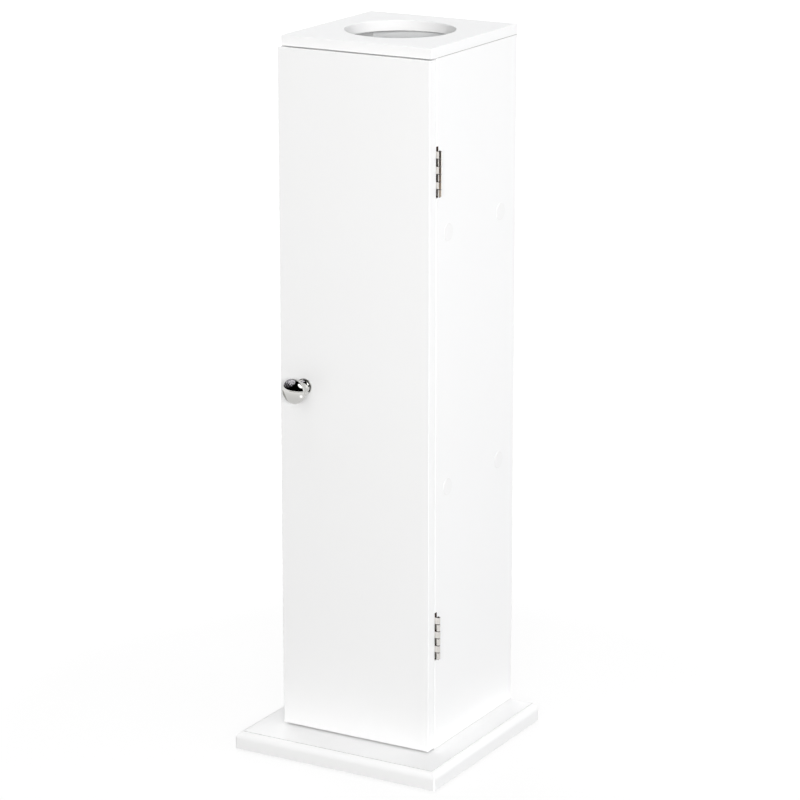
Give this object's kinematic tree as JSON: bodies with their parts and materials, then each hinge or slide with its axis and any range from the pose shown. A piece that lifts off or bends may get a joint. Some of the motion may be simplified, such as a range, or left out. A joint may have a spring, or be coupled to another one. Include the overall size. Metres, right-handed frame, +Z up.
{
  "type": "toilet roll storage cabinet",
  "caption": "Slim free-standing bathroom tower with a hinged front door, fixed shelves inside for toilet rolls and a round opening in its top, on a wider base plate.",
  "frame": {"origin": "on the floor, under the middle of the base plate, at the underside of the foot pads", "axes": "+Z up, the door and the knob face -Y, +X is the hinge side, right as seen from the front"},
  "size_m": [0.208, 0.2, 0.655],
  "materials": {
    "panel_lacquer": "white satin lacquer over fibreboard",
    "door_lacquer": "white satin lacquer over fibreboard",
    "back_board": "white foil on thin hardboard",
    "pad_rubber": "matt",
    "knob_chrome": "polished",
    "hinge_nickel": "bright nickel plate",
    "screw_zinc": "zinc plate",
    "catch_plastic": "moulded",
    "magnet_ferrite": "sintered, matt",
    "cover_sticker": "matt adhesive foil",
    "dowel_beech": "plain turned wood"
  },
  "bodies": {
    "cabinet_body": {"base_plate": "panel_lacquer", "foot_pads": "pad_rubber", "side_panel_left": "panel_lacquer", "side_panel_right": "panel_lacquer", "back_panel": "back_board", "top_panel": "panel_lacquer", "shelf_upper": "panel_lacquer", "shelf_lower": "panel_lacquer", "upper_hinge_frame_leaf": "hinge_nickel", "upper_hinge_pin": "hinge_nickel", "lower_hinge_frame_leaf": "hinge_nickel", "lower_hinge_pin": "hinge_nickel", "hinge_screws_frame": "screw_zinc", "catch_housing": "catch_plastic", "catch_magnet": "magnet_ferrite", "catch_pole_plates": "hinge_nickel", "catch_screws": "screw_zinc", "shelf_screws_left": "screw_zinc", "shelf_screws_right": "screw_zinc", "screw_covers_left": "cover_sticker", "screw_covers_right": "cover_sticker", "top_dowels": "dowel_beech", "base_dowels": "dowel_beech", "base_screws": "screw_zinc"},
    "door_body": {"door": "door_lacquer", "knob": "knob_chrome", "knob_screw": "screw_zinc", "upper_hinge_door_leaf": "hinge_nickel", "lower_hinge_door_leaf": "hinge_nickel", "hinge_screws_door": "screw_zinc", "strike_plate": "hinge_nickel", "strike_screw": "screw_zinc"}
  },
  "joints": [
    {"name": "door_hinge", "type": "hinge", "parent": "cabinet_body", "child": "door_body", "pos_m": [0.0775, -0.04575, 0.3321], "axis": [0, 0, 1], "range_deg": [0, 195]}
  ]
}
